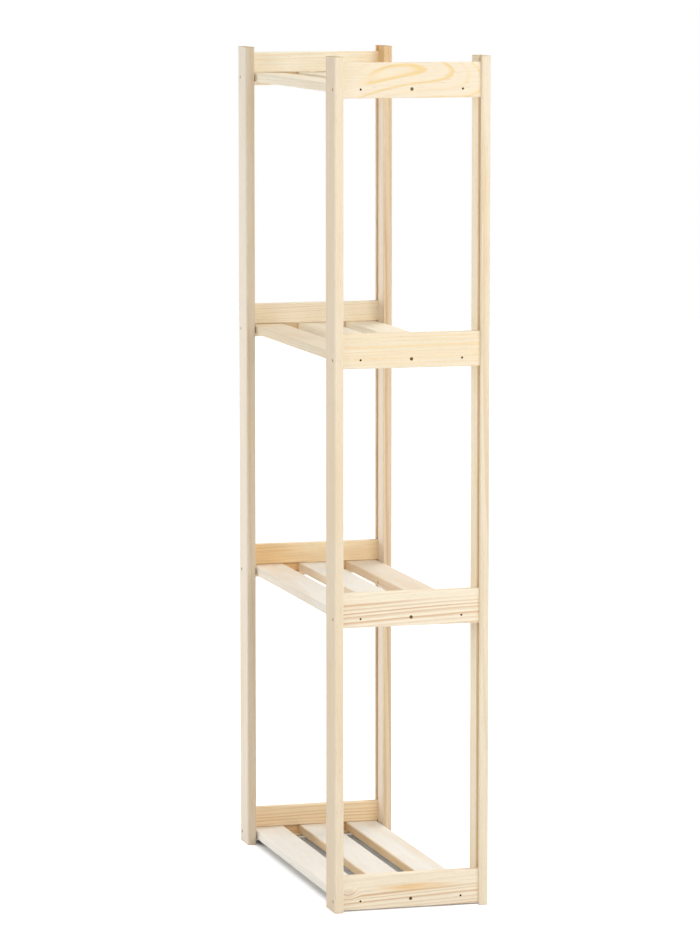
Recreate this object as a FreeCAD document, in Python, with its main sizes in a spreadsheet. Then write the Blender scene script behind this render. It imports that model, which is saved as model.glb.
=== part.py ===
import FreeCAD, Part
import math
import os
import Sketcher

# Open shelving unit of untreated softwood boards: two ladder frames joined by four slatted shelves.
# X runs along the slats, the front of the unit faces -Y and the posts stand on Z = 0.
# The origin is the middle of the footprint. Left is -X and right is +X.

DIMENSIONS = {
    # Overall size of the unit.
    "unit_width": 770,
    "unit_depth": 320,
    "unit_height": 1710,
    # One planed board section serves the posts, the rails and the slats.
    "board_width": 70,
    "board_thick": 18,
    "edge_radius": 2.5,
    # Groove along the posts and rails, which takes the ends of the next boards.
    "groove_lip": 8.5,
    "groove_depth": 6,
    "groove_play": 0.2,
    # The bottom rails clear the floor, and the top rails lie below the tops of the posts.
    "floor_gap": 3,
    "top_gap": 12,
    # The lower shelf is placed from the bottom one, and the upper shelf from the top one.
    "lower_shelf_rise": 573,
    "upper_shelf_drop": 534,
    # Room between the outer slats and the posts beside them.
    "slat_post_gap": 2,
    # Screws hold the rails to the posts and the middle slats to the rails.
    "screw_length": 40,
    "screw_diameter": 3.5,
    "screw_head_diameter": 7,
    "screw_head_height": 2,
    "screw_tip_length": 5,
    # Sunk nails hold the front and back slats to the rails.
    "nail_length": 45,
    "nail_diameter": 2.4,
    "nail_head_diameter": 4.4,
    "nail_head_height": 1.2,
    "nail_tip_length": 4,
    # Depth of a fastener's head below the face of the wood, and the room round it in its hole.
    "head_sink": 0.8,
    "hole_play": 0.1,
}

# Worked out from the driving dimensions.
DERIVED = {
    # What is left of a board behind its groove, and the width of the groove.
    "web_thick": "board_thick - groove_depth",
    "groove_width": "board_thick + groove_play",
    # The line along a grooved board on which its fasteners stand, from the edge beside the groove.
    "fastener_line": "groove_lip + board_thick / 2",
    # Underside of the two rails at each shelf, above the floor.
    "bottom_rail_height": "floor_gap",
    "lower_rail_height": "bottom_rail_height + lower_shelf_rise",
    "top_rail_height": "unit_height - top_gap - board_width",
    "upper_rail_height": "top_rail_height - upper_shelf_drop",
    # Rails end on the floors of the post grooves, and slats on the floors of the rail grooves.
    "rail_length": "unit_depth - 2 * web_thick",
    "slat_length": "unit_width - 2 * groove_lip - 2 * web_thick",
    # Middle of one slat to the middle of the next.
    "slat_pitch": "unit_depth / 2 - board_thick - slat_post_gap - board_width / 2",
    # Radii of the shank holes and head seats, and the depth of a seat.
    "screw_hole": "screw_diameter / 2 + hole_play",
    "screw_seat": "screw_head_diameter / 2 + hole_play",
    "screw_seat_depth": "screw_head_height + head_sink",
    "nail_hole": "nail_diameter / 2 + hole_play",
    "nail_seat": "nail_head_diameter / 2 + hole_play",
    "nail_seat_depth": "nail_head_height + head_sink",
    # Depth of the holes in end grain, past the web that a fastener is driven through.
    "screw_pilot": "screw_length + head_sink + hole_play - web_thick",
    "nail_pilot": "nail_length + head_sink + hole_play - web_thick",
}

SHELVES = {
    "bottom": "Sizes.bottom_rail_height",
    "lower": "Sizes.lower_rail_height",
    "upper": "Sizes.upper_rail_height",
    "top": "Sizes.top_rail_height",
}
SIDES = {"left": -1, "right": 1}
FACES = {"front": -1, "back": 1}
SLATS = {"front": -1, "middle": 0, "back": 1}

# Small round forms are repeated on every joint, so each is a prism with few faces.
HEAD_FACES = 12
SHANK_FACES = 8

doc = FreeCAD.newDocument("ShelvingUnit")
sheet = doc.addObject("Spreadsheet::Sheet", "Sizes")
formulas = {alias: f"={formula}" for alias, formula in DERIVED.items()}
for row, (alias, content) in enumerate({**DIMENSIONS, **formulas}.items(), start=1):
    sheet.set(f"A{row}", alias)
    sheet.set(f"B{row}", str(content))
    sheet.setAlias(f"B{row}", alias)
doc.recompute()


def size(alias):
    """Value of a cell as a plain number."""
    return float(getattr(sheet, alias))


def axes(along_x, along_y):
    """Rotation that turns a board's X and Y towards two directions of the unit."""
    first = FreeCAD.Vector(*along_x)
    second = FreeCAD.Vector(*along_y)
    return FreeCAD.Rotation(first, second, first.cross(second), "XYZ")


def place(item, rotation, x, y, z):
    """Turns a board or a feature and ties its position to formulas."""
    item.Placement.Rotation = rotation
    for axis, formula in {"x": x, "y": y, "z": z}.items():
        item.setExpression(f"Placement.Base.{axis}", formula)


ALONG_THICKNESS = FreeCAD.Rotation(FreeCAD.Vector(1, 0, 0), -90)
ALONG_LENGTH = FreeCAD.Rotation()


def section_sketch(body, name):
    """Empty sketch across the start of a board."""
    sketch = body.newObject("Sketcher::SketchObject", f"{body.Name}_{name}")
    plane = next(feature for feature in body.Origin.OriginFeatures if feature.Role == "XY_Plane")
    sketch.AttachmentSupport = [(plane, "")]
    sketch.MapMode = "FlatFace"
    return sketch


def drive(sketch, name, kind, ends, formula):
    """Adds a dimension to a sketch and ties it to a formula."""
    index = sketch.addConstraint(Sketcher.Constraint(kind, *ends, float(sketch.evalExpression(formula))))
    sketch.renameConstraint(index, name)
    sketch.setExpression(f"Constraints.{name}", formula)


def rectangle(sketch, width, height, corner=None):
    """Rectangle tied to its formulas, from the sketch origin or from a corner away from it."""
    left, low = [float(sketch.evalExpression(formula)) for formula in corner or ("0", "0")]
    right = left + float(sketch.evalExpression(width))
    high = low + float(sketch.evalExpression(height))
    points = [FreeCAD.Vector(x, y, 0) for x, y in ((left, low), (right, low), (right, high), (left, high))]
    for line in range(4):
        sketch.addGeometry(Part.LineSegment(points[line], points[(line + 1) % 4]), False)
    for line in range(4):
        sketch.addConstraint(Sketcher.Constraint("Coincident", line, 2, (line + 1) % 4, 1))
        sketch.addConstraint(Sketcher.Constraint("Vertical" if line % 2 else "Horizontal", line))
    drive(sketch, "width", "DistanceX", (0, 1, 0, 2), width)
    drive(sketch, "height", "DistanceY", (1, 1, 1, 2), height)
    if corner:
        drive(sketch, "left", "DistanceX", (-1, 1, 0, 1), corner[0])
        drive(sketch, "low", "DistanceY", (-1, 1, 0, 1), corner[1])
    else:
        sketch.addConstraint(Sketcher.Constraint("Coincident", 0, 1, -1, 1))


def finish_cut(feature, before):
    """Recomputes a cut and stops the build if it took no wood away."""
    doc.recompute()
    if not feature.Shape.Volume < before - 1:
        raise RuntimeError(f"{feature.Name} cuts nothing")


def board(label, length):
    """Planed board with its width along X, its thickness along Y, its length along Z and eased long edges."""
    body = doc.addObject("PartDesign::Body", label)
    body.Label = label
    section = section_sketch(body, "section")
    rectangle(section, "Sizes.board_width", "Sizes.board_thick")
    pad = body.newObject("PartDesign::Pad", f"{label}_pad")
    pad.Profile = section
    pad.setExpression("Length", length)
    doc.recompute()
    easing = body.newObject("PartDesign::Fillet", f"{label}_easing")
    middle = pad.Shape.BoundBox.ZLength / 2
    numbered = enumerate(pad.Shape.Edges, start=1)
    easing.Base = (pad, [f"Edge{number}" for number, edge in numbered if abs(edge.CenterOfMass.z - middle) < 1])
    easing.setExpression("Radius", "Sizes.edge_radius")
    doc.recompute()
    return body


def mill_groove(body):
    """Groove along the inner face of a board, a lip away from one edge, open at both ends."""
    before = body.Shape.Volume
    outline = section_sketch(body, "groove_section")
    rectangle(outline, "Sizes.groove_width", "Sizes.groove_depth", ("Sizes.groove_lip", "Sizes.web_thick"))
    groove = body.newObject("PartDesign::Pocket", f"{body.Name}_groove")
    groove.Profile = outline
    groove.Type = "ThroughAll"
    groove.Reversed = True
    finish_cut(groove, before)


def bore(body, name, faces, radius, depth, direction, x, y, z):
    """Straight hole with a few flat faces, from a point of the board along its thickness or its length."""
    before = body.Shape.Volume
    hole = body.newObject("PartDesign::SubtractivePrism", f"{body.Name}_{name}")
    hole.Polygon = faces
    hole.setExpression("Circumradius", radius)
    hole.setExpression("Height", depth)
    place(hole, direction, x, y, z)
    finish_cut(hole, before)


def fastener_hole(body, name, kind, height):
    """Head seat in the outer face of a grooved board and a shank hole on through its web."""
    bore(body, f"{name}_seat", HEAD_FACES, f"Sizes.{kind}_seat", f"Sizes.{kind}_seat_depth", ALONG_THICKNESS,
         "Sizes.fastener_line", "0", height)
    bore(body, f"{name}_hole", SHANK_FACES, f"Sizes.{kind}_hole", "Sizes.board_thick", ALONG_THICKNESS,
         "Sizes.fastener_line", "0", height)


def end_holes(body, kind, length, x):
    """One hole into the end grain at each end of a board, midway through its thickness."""
    depth = f"Sizes.{kind}_pilot"
    for name, start in {"start_hole": "0", "end_hole": f"{length} - {depth}"}.items():
        bore(body, name, SHANK_FACES, f"Sizes.{kind}_hole", depth, ALONG_LENGTH, x, "Sizes.board_thick / 2", start)


def post(label, side, face):
    """Upright board whose groove faces the other post of its frame, with one screw hole at each rail end."""
    body = board(label, "Sizes.unit_height")
    mill_groove(body)
    upside_down = side != face
    for shelf_name, rail_height in SHELVES.items():
        height = f"{rail_height} + Sizes.fastener_line"
        fastener_hole(body, shelf_name, "screw", f"Sizes.unit_height - ({height})" if upside_down else height)
    place(body, axes((-side, 0, 0), (0, -face, 0)), f"{side} * Sizes.unit_width / 2",
          f"{face} * Sizes.unit_depth / 2", "Sizes.unit_height" if upside_down else "0")
    return body


def rail(label, side, rail_height):
    """Cross board of an end frame, seated in both post grooves, with its own groove for the slats inside."""
    body = board(label, "Sizes.rail_length")
    mill_groove(body)
    for slat_name, step in SLATS.items():
        fastener_hole(body, slat_name, "nail" if step else "screw",
                      f"Sizes.rail_length / 2 + {step * -side} * Sizes.slat_pitch")
    end_holes(body, "screw", "Sizes.rail_length", "Sizes.fastener_line")
    place(body, axes((0, 0, 1), (-side, 0, 0)), f"{side} * (Sizes.unit_width / 2 - Sizes.groove_lip)",
          f"{side} * Sizes.rail_length / 2", rail_height)
    return body


def slat(label, step, rail_height):
    """Shelf board lying in the grooves of the left and right rails, fastened through them into its ends."""
    body = board(label, "Sizes.slat_length")
    end_holes(body, "nail" if step else "screw", "Sizes.slat_length", "Sizes.board_width / 2")
    place(body, axes((0, 1, 0), (0, 0, 1)), "-Sizes.slat_length / 2",
          f"{step} * Sizes.slat_pitch - Sizes.board_width / 2", f"{rail_height} + Sizes.groove_lip")
    return body


def ring(faces, radius, height):
    """Closed polygon round Z with its first corner on X."""
    turns = [2 * math.pi * corner / faces for corner in range(faces + 1)]
    return Part.makePolygon([FreeCAD.Vector(radius * math.cos(a), radius * math.sin(a), height) for a in turns])


def fastener(kind):
    """Screw or nail, point down, with the flat of its head at the origin."""
    head_radius = size(f"{kind}_head_diameter") / 2
    shank_radius = size(f"{kind}_diameter") / 2
    under_head = -size(f"{kind}_head_height")
    point = -size(f"{kind}_length")
    tip = point + size(f"{kind}_tip_length")
    head = Part.Face(ring(HEAD_FACES, head_radius, under_head)).extrude(FreeCAD.Vector(0, 0, -under_head))
    shank = Part.Face(ring(SHANK_FACES, shank_radius, tip)).extrude(FreeCAD.Vector(0, 0, under_head - tip))
    end = Part.makeLoft([Part.Vertex(0, 0, point), ring(SHANK_FACES, shank_radius, tip)], True, True)
    return head.fuse([shank, end]).removeSplitter().Solids[0]


def driven(kind, point, outward):
    """Fastener driven in at a point of a face, with its head looking along the face's outward direction."""
    direction = FreeCAD.Vector(*outward)
    solid = fastener(kind)
    turn = FreeCAD.Rotation(FreeCAD.Vector(0, 0, 1), direction)
    solid.Placement = FreeCAD.Placement(FreeCAD.Vector(*point) - direction * size("head_sink"), turn)
    return solid


def fastener_group(label, solids):
    """Identical fasteners as separate solids of one sub-part."""
    group = doc.addObject("Part::Feature", label)
    group.Label = label
    group.Shape = Part.Compound(solids)
    group.Placement = FreeCAD.Placement()
    return group


parts = []
for side_name, side in SIDES.items():
    for face_name, face in FACES.items():
        parts.append(post(f"post_{face_name}_{side_name}", side, face))
    for shelf_name, rail_height in SHELVES.items():
        parts.append(rail(f"rail_{shelf_name}_{side_name}", side, rail_height))
for shelf_name, rail_height in SHELVES.items():
    for slat_name, step in SLATS.items():
        parts.append(slat(f"slat_{shelf_name}_{slat_name}", step, rail_height))

post_screws = []
slat_screws = []
slat_nails = []
for rail_height in SHELVES.values():
    height = float(sheet.evalExpression(rail_height)) + size("fastener_line")
    for side in SIDES.values():
        rail_face = side * (size("unit_width") / 2 - size("groove_lip"))
        rail_middle = rail_face - side * size("board_thick") / 2
        for face in FACES.values():
            post_screws.append(driven("screw", (rail_middle, face * size("unit_depth") / 2, height), (0, face, 0)))
        for step in SLATS.values():
            point = (rail_face, step * size("slat_pitch"), height)
            if step:
                slat_nails.append(driven("nail", point, (side, 0, 0)))
            else:
                slat_screws.append(driven("screw", point, (side, 0, 0)))
parts.append(fastener_group("post_screws", post_screws))
parts.append(fastener_group("slat_screws", slat_screws))
parts.append(fastener_group("slat_nails", slat_nails))
doc.recompute()

for item in doc.Objects:
    if "Invalid" in item.State or "Error" in item.State:
        raise RuntimeError(f"{item.Name} failed: {item.State}")
for item in parts:
    if item.Shape.isNull() or not item.Shape.isValid():
        raise RuntimeError(f"{item.Label} has no valid shape")

os.makedirs("parts", exist_ok=True)
for item in parts:
    item.Shape.exportStep(f"parts/{item.Label}.step")
    print(f"{item.Label}: solids {len(item.Shape.Solids)}, volume {item.Shape.Volume / 1000:.1f} cm3")
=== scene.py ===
# %% [markdown]
# A wooden shelving unit, dressed.
# The unit is four upright posts, eight cross rails and twelve slats, planed from one pale pine board
# stock and housed in shallow grooves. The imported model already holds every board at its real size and
# place. This lesson gives it its looks: the wood of each board, the screws and nails that hold the
# grooves shut, and a plain studio to see it in. The model is loaded first and is never moved, so each
# later piece can take its place from it.

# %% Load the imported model
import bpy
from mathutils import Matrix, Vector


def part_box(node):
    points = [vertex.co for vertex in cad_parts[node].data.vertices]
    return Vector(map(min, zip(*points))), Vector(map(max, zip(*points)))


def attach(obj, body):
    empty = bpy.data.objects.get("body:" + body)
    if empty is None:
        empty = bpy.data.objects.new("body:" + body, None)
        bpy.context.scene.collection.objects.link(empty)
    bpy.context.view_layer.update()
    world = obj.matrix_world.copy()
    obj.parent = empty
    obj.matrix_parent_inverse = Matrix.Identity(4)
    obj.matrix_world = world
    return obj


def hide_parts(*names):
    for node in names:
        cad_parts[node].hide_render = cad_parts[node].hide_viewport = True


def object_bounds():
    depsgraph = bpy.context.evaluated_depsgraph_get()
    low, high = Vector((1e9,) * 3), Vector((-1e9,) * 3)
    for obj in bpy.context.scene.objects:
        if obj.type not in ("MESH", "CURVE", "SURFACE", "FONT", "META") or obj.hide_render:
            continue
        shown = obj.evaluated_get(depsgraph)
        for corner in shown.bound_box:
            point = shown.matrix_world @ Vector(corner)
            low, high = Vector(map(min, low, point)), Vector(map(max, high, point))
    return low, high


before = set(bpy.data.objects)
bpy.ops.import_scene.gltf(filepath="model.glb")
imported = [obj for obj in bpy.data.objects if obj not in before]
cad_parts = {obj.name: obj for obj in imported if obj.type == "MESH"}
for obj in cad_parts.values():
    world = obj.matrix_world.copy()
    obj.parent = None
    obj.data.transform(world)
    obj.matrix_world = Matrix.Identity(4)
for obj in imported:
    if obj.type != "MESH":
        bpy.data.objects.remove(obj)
cad_low, cad_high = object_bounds()
print("loaded", len(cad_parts), "nodes, highest corner", [round(x, 3) for x in cad_high])

# %% [markdown]
# Where each board lay in its log.
# The figure of a board is a slice through the rings of a tree, so the pattern is worked out in the
# board's own axes: x along the grain, y across the width and z through the thickness. A picture laid on
# each face would be an easier way, but its lines would not meet at the edges. A pattern in space does,
# and shows the end grain without more work. Posts stand, rails run from front to back and slats run from
# side to side, so each kind names its axes in that order.

# %% Measure the boards
import bpy
from mathutils import Matrix, Vector

MM = 0.001
BOARD_AXES = {"post": "ZXY", "rail": "YZX", "slat": "XYZ"}
FASTENER_NODES = ("post_screws", "slat_screws", "slat_nails")
BOARDS = sorted(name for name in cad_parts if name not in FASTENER_NODES)


def kind_of(name):
    """Post, rail or slat, from the first word of a node's name."""
    return name.split("_")[0]


def board_frame(name):
    """A board's centre, its turn from the world's axes, and half its length, width and thickness."""
    low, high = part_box(name)
    order = ["XYZ".index(letter) for letter in BOARD_AXES[kind_of(name)]]
    axes = Matrix.Identity(3)
    turn = Matrix([axes[i] for i in order]).transposed().to_euler()
    half = Vector([(high[i] - low[i]) / 2 for i in order])
    return (low + high) / 2, turn, half


def metres(millimetres):
    """A place or a size in millimetres as the vector of metres that shaders use."""
    return Vector(millimetres) * MM


print("boards:", len(BOARDS))

# %% [markdown]
# Small tools for shader nodes.
# A shader made by hand is a few dozen nodes joined by wires. Written out in full, that hides the idea,
# so each kind of step gets a short helper: it adds one node, feeds it with other sockets or with plain
# numbers, and returns its output.

# %% Helpers that add one shader node each
MIX_SHARE, MIX_FIRST, MIX_SECOND, MIX_RESULT = 0, 6, 7, 2


def feed(tree, source, target):
    """Wires a socket to an input, or writes a plain value on it."""
    if isinstance(source, bpy.types.NodeSocket):
        tree.links.new(source, target)
    else:
        target.default_value = source


def calc(tree, operation, *values):
    """One Math node."""
    step = tree.nodes.new("ShaderNodeMath")
    step.operation = operation
    for target, value in zip(step.inputs, values):
        feed(tree, value, target)
    return step.outputs[0]


def move(tree, operation, *values):
    """One Vector Math node."""
    step = tree.nodes.new("ShaderNodeVectorMath")
    step.operation = operation
    for target, value in zip(step.inputs, values):
        feed(tree, value, target)
    return step.outputs["Vector"]


def length(tree, vector):
    """How long a vector is."""
    step = tree.nodes.new("ShaderNodeVectorMath")
    step.operation = "LENGTH"
    feed(tree, vector, step.inputs[0])
    return step.outputs["Value"]


def split(tree, vector):
    """The three numbers of a vector."""
    step = tree.nodes.new("ShaderNodeSeparateXYZ")
    feed(tree, vector, step.inputs[0])
    return step.outputs


def rise(tree, value, low, high):
    """0 up to low, 1 from high on, and a smooth step between them."""
    step = tree.nodes.new("ShaderNodeMapRange")
    step.interpolation_type = "SMOOTHSTEP"
    feed(tree, value, step.inputs["Value"])
    feed(tree, low, step.inputs["From Min"])
    feed(tree, high, step.inputs["From Max"])
    return step.outputs["Result"]


def fall(tree, value, low, high):
    """1 up to low, 0 from high on, and a smooth step between them."""
    return calc(tree, "SUBTRACT", 1.0, rise(tree, value, low, high))


def noise(tree, place, per_metre, detail=2.0):
    """A noise node with so many spots to the metre along, across and through the board."""
    step = tree.nodes.new("ShaderNodeTexNoise")
    step.inputs["Scale"].default_value = 1.0
    step.inputs["Detail"].default_value = detail
    feed(tree, move(tree, "MULTIPLY", place, per_metre), step.inputs["Vector"])
    return step.outputs


def tint(tree, share, first, second, blend="MIX"):
    """One colour laid over another by a share."""
    step = tree.nodes.new("ShaderNodeMix")
    step.data_type = "RGBA"
    step.blend_type = blend
    feed(tree, share, step.inputs[MIX_SHARE])
    feed(tree, first, step.inputs[MIX_FIRST])
    feed(tree, second, step.inputs[MIX_SECOND])
    return step.outputs[MIX_RESULT]


print("node helpers ready")

# %% [markdown]
# Groups and colours.
# An effect that many materials share is built once, as a group with named sockets, and each material
# places a copy of it with values of its own. Colours are picked as on a screen, from 0 to 255, while
# shaders reckon in amounts of light, so one more helper turns the first into the second.

# %% Helpers for groups and colours
FLOAT, VECTOR, COLOR = "NodeSocketFloat", "NodeSocketVector", "NodeSocketColor"
SCREEN_WHITE, SCREEN_LIFT, SCREEN_POWER = 255, 0.055, 2.4


def new_group(name, inputs, outputs):
    """An empty shader group with named sockets: its tree, what comes in and what goes out."""
    tree = bpy.data.node_groups.new(name, "ShaderNodeTree")
    for title, kind in inputs.items():
        tree.interface.new_socket(name=title, in_out="INPUT", socket_type=kind)
    for title in outputs:
        kind = COLOR if title == "Colour" else FLOAT
        tree.interface.new_socket(name=title, in_out="OUTPUT", socket_type=kind)
    return tree, tree.nodes.new("NodeGroupInput").outputs, tree.nodes.new("NodeGroupOutput").inputs


def place_group(tree, group, values):
    """One copy of a group in a material, with this material's own values."""
    step = tree.nodes.new("ShaderNodeGroup")
    step.node_tree = group
    for title, value in values.items():
        feed(tree, value, step.inputs[title])
    return step.outputs


def srgb(*screen):
    """A colour as a screen shows it, from 0 to 255, in the linear values that shaders use."""
    shares = [(number / SCREEN_WHITE + SCREEN_LIFT) / (1 + SCREEN_LIFT) for number in screen]
    return (*[share ** SCREEN_POWER for share in shares], 1.0)


print("group helpers ready")

# %% [markdown]
# Growth rings.
# Each year a pine lays down a broad pale band and then a thin dark one. Rings round a pith line are
# cylinders, and a board sawn across them shows straight lines where the pith lies to its side, and
# flames where the pith lies behind it at a slant or in a bow. So the group asks where the pith is and
# how it runs, measures the distance to it, and cuts that into rings. Noise bends the cylinders and makes
# years uneven, because perfect circles look printed. Sapwood shows fainter years than heartwood. The
# border between them runs along the board, straight or at a slant, and the group also gives back on
# which side of it a place lies.

# %% Group: growth rings
BEND_PER_METRE = (2.6, 13.0, 13.0)
NOISE_MIDDLE = (0.5, 0.5, 0.5)
SPELLS_PER_YEAR = 0.31
SPELL_SHIFT = 1.5
LATE_FULL, LATE_END = 0.82, 0.88
QUIET_SHARE = 0.8


def years_from_pith(tree, given, bend):
    """How many rings lie between the pith and a place, uneven by spells of good and bad years."""
    along = split(tree, given["Place"])["X"]
    slope = move(tree, "ADD", given["Lean"], move(tree, "MULTIPLY", given["Bow"], along))
    pith = move(tree, "ADD", given["Pith"], move(tree, "MULTIPLY", slope, along))
    spot = split(tree, move(tree, "ADD", move(tree, "SUBTRACT", given["Place"], pith), bend))
    square = calc(tree, "ADD", calc(tree, "POWER", spot["Y"], 2.0), calc(tree, "POWER", spot["Z"], 2.0))
    radius = calc(tree, "ADD", calc(tree, "SQRT", square), given["Push"])
    years = calc(tree, "DIVIDE", radius, given["Ring Width"])
    spell = tree.nodes.new("ShaderNodeTexNoise")
    spell.noise_dimensions = "1D"
    spell.inputs["Scale"].default_value = SPELLS_PER_YEAR
    feed(tree, calc(tree, "ADD", years, split(tree, given["Shift"])["X"]), spell.inputs["W"])
    return calc(tree, "MULTIPLY_ADD", spell.outputs["Fac"], SPELL_SHIFT, years)


def sapwood(tree, given, bend):
    """1 in the sapwood, 0 in the heartwood and a soft border between them."""
    along, across, _ = split(tree, given["Place"])
    border = calc(tree, "MULTIPLY_ADD", along, given["Sap Slant"], across)
    border = calc(tree, "ADD", border, split(tree, bend)["Y"])
    return rise(tree, border, given["Sap From"], given["Sap To"])


def growth_rings():
    """Late wood, from 0 to 1 in each ring, a tone of its own for each year, and the heartwood."""
    tree, given, result = new_group(
        "Growth rings",
        {"Place": VECTOR, "Shift": VECTOR, "Pith": VECTOR, "Lean": VECTOR, "Bow": VECTOR,
         "Ring Width": FLOAT, "Waver": FLOAT, "Push": FLOAT, "Late From": FLOAT,
         "Sap From": FLOAT, "Sap To": FLOAT, "Sap Slant": FLOAT},
        ("Late Wood", "Year Tone", "Heart"),
    )
    log_place = move(tree, "ADD", given["Place"], given["Shift"])
    bend = move(tree, "SUBTRACT", noise(tree, log_place, BEND_PER_METRE)["Color"], NOISE_MIDDLE)
    bend = move(tree, "MULTIPLY", bend, given["Waver"])
    years = years_from_pith(tree, given, bend)
    season = calc(tree, "FRACT", years)
    darkening = rise(tree, season, given["Late From"], LATE_FULL)
    late = calc(tree, "MULTIPLY", darkening, fall(tree, season, LATE_END, 1.0))
    sap = sapwood(tree, given, bend)
    late = calc(tree, "MULTIPLY", late, calc(tree, "MULTIPLY_ADD", sap, -QUIET_SHARE, 1.0))
    year = tree.nodes.new("ShaderNodeTexWhiteNoise")
    year.noise_dimensions = "1D"
    feed(tree, calc(tree, "FLOOR", years), year.inputs["W"])
    feed(tree, late, result["Late Wood"])
    feed(tree, year.outputs["Value"], result["Year Tone"])
    feed(tree, calc(tree, "SUBTRACT", 1.0, sap), result["Heart"])
    return tree


RINGS = growth_rings()
print(RINGS.name, "has", len(RINGS.nodes), "nodes")

# %% [markdown]
# Fibres, resin canals and cloudy tone.
# Seen closely, planed pine is a mat of fine streaks along the grain with short brown dashes where resin
# canals were cut open, and from a step away it is warmer in some stretches than in others. All three are
# noise, drawn out along the grain by so many spots to the metre, and they share one group because every
# board needs all of them.

# %% Group: fibres
STREAKS_PER_METRE, STREAK_DETAIL = (11.0, 430.0, 430.0), 3.0
CANALS_PER_METRE, CANAL_DETAIL = (55.0, 1500.0, 1500.0), 1.0
CLOUDS_PER_METRE = (3.0, 22.0, 22.0)
CANAL_START, CANAL_FULL = 0.66, 0.74


def wood_fibre():
    """Fine streaks, open resin canals and slow clouds of tone, each from 0 to 1."""
    tree, given, result = new_group(
        "Wood fibre", {"Place": VECTOR, "Shift": VECTOR}, ("Streaks", "Canals", "Clouds")
    )
    log_place = move(tree, "ADD", given["Place"], given["Shift"])
    canals = noise(tree, log_place, CANALS_PER_METRE, CANAL_DETAIL)["Fac"]
    feed(tree, noise(tree, log_place, STREAKS_PER_METRE, STREAK_DETAIL)["Fac"], result["Streaks"])
    feed(tree, rise(tree, canals, CANAL_START, CANAL_FULL), result["Canals"])
    feed(tree, noise(tree, log_place, CLOUDS_PER_METRE)["Fac"], result["Clouds"])
    return tree


FIBRE = wood_fibre()
print(FIBRE.name, "has", len(FIBRE.nodes), "nodes")

# %% [markdown]
# Knots.
# A knot is where a branch left the trunk. The rings swing round it, so the group gives back two things:
# the core, which is darker, and a push that is added to the distance from the pith, so that the lines of
# the board bow out around it.

# %% Group: knot
CORE_SOLID, CORE_END = 0.7, 1.15
KNOT_REACH = 2.3
KNOT_PUSH = 1.6
KNOT_STRETCH = (0.7, 1.0, 1.0)


def branch_knot():
    """The core of a knot and how far it pushes the rings away."""
    tree, given, result = new_group(
        "Branch knot", {"Place": VECTOR, "Centre": VECTOR, "Radius": FLOAT}, ("Core", "Push")
    )
    offset = move(tree, "MULTIPLY", move(tree, "SUBTRACT", given["Place"], given["Centre"]), KNOT_STRETCH)
    reach = calc(tree, "DIVIDE", length(tree, offset), given["Radius"])
    feed(tree, fall(tree, reach, CORE_SOLID, CORE_END), result["Core"])
    bulge = calc(tree, "MULTIPLY", fall(tree, reach, 0.0, KNOT_REACH), given["Radius"])
    feed(tree, calc(tree, "MULTIPLY", bulge, KNOT_PUSH), result["Push"])
    return tree


KNOT = branch_knot()
print(KNOT.name, "has", len(KNOT.nodes), "nodes")

# %% [markdown]
# Smears.
# Where a pine was hurt, resin soaks the wood and leaves a long orange smear with no sharp edge. A painted
# shadow lies in the same soft way along the line where two boards meet. Both are the distance to a point,
# as a knot is, but drawn out along the grain and broken up by streaks, so one small group makes either.

# %% Group: smear
SMEAR_BREAKS_PER_METRE = (16.0, 220.0, 220.0)
BREAK_START, BREAK_FULL = 0.2, 0.6


def soft_smear():
    """A soft smear round a point, as long, as wide and as deep as its reach."""
    tree, given, result = new_group(
        "Soft smear", {"Place": VECTOR, "Shift": VECTOR, "Centre": VECTOR, "Reach": VECTOR}, ("Smear",)
    )
    offset = move(tree, "DIVIDE", move(tree, "SUBTRACT", given["Place"], given["Centre"]), given["Reach"])
    inside = fall(tree, length(tree, offset), 0.0, 1.0)
    breaks = noise(tree, move(tree, "ADD", given["Place"], given["Shift"]), SMEAR_BREAKS_PER_METRE)["Fac"]
    feed(tree, calc(tree, "MULTIPLY", inside, rise(tree, breaks, BREAK_START, BREAK_FULL)), result["Smear"])
    return tree


SMEAR = soft_smear()
print(SMEAR.name, "has", len(SMEAR.nodes), "nodes")

# %% [markdown]
# Edges and ends.
# Hands and sandpaper reach the long edges first, and a sawn end drinks in more dust than a planed face.
# The pale long edge is partly that wear and partly a painted highlight. A board is a plain block, so
# both can be told from the place alone: near an edge two of the three distances to the outside are
# small, and at an end the distance along the grain is. A face with no small distance lies inside the
# block, so it is the wall of a groove or a hole, and there the wood gets painted shade. This holds for
# every board, whatever its size.

# %% Group: edges and ends
EDGE_BREAKS_PER_METRE = (60.0, 160.0, 160.0)
EDGE_INNER, EDGE_OUTER = 0.6 * MM, 4.2 * MM
EDGE_ROUGH = 2.4 * MM
END_INNER, END_OUTER = 0.4 * MM, 1.6 * MM
# depths from the outside at which the painted shade in grooves and holes starts and is full
GROOVE_SHADE_INNER, GROOVE_SHADE_FULL = 0.8 * MM, 4.0 * MM


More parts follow.
